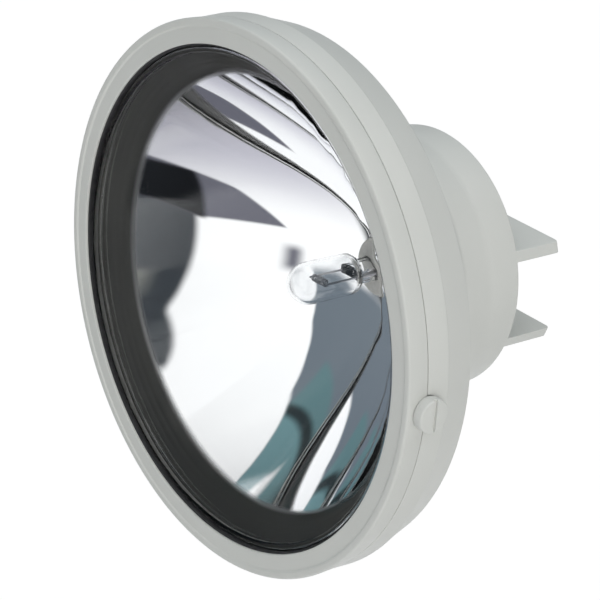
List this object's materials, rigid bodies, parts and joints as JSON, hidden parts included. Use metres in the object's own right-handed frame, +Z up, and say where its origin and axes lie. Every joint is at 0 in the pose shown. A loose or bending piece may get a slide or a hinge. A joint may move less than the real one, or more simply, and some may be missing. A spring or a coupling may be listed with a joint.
{
  "type": "marine searchlight head",
  "caption": "Round white searchlight head: glass lens and mirrored bowl in a bezel held by a quarter-turn stud, on a rear housing with a barrel and a pin fork.",
  "frame": {"origin": "middle of the fork's pin bore, between the two ears", "axes": "+Z up along the fork's pin, +Y along the lamp's axis towards the rear, so the beam leaves along -Y, +X towards the lamp's own left, where the lock is"},
  "size_m": [0.1572, 0.089, 0.154],
  "materials": {
    "white_plastic": "fine moulded texture, satin",
    "lens_glass": "clear, polished",
    "capsule_glass": "clear quartz",
    "mirror": "vacuum-metallised, bright",
    "black_rubber": "matt",
    "ceramic": "unglazed",
    "steel": "plain",
    "tungsten": "drawn wire",
    "brass": "plain",
    "red_insulation": "satin",
    "black_insulation": "satin",
    "block_plastic": "satin"
  },
  "bodies": {
    "head": {"front_bezel": "white_plastic", "rear_housing": "white_plastic", "fork_barrel": "white_plastic", "lens_gasket": "black_rubber", "lens": "lens_glass", "reflector": "mirror", "lamp_cushion": "black_rubber", "capsule_glass": "capsule_glass", "filament": "tungsten", "filament_leads": "tungsten", "capsule_pins": "steel", "bulb_holder": "ceramic", "holder_clamp": "steel", "clamp_screws": "steel", "lead_positive": "red_insulation", "lead_negative": "black_insulation", "terminal_block": "block_plastic", "block_clamp_screws": "brass", "block_fixing_screw": "steel", "cable_grommet": "black_rubber"},
    "lock_right": {"lock_stud_right": "white_plastic", "lock_ring_right": "steel"}
  },
  "joints": [
    {"name": "lock_right_turn", "type": "hinge", "parent": "head", "child": "lock_right", "pos_m": [0.076, -0.0738, 0], "axis": [1, 0, 0], "range_deg": [0, 90]}
  ]
}
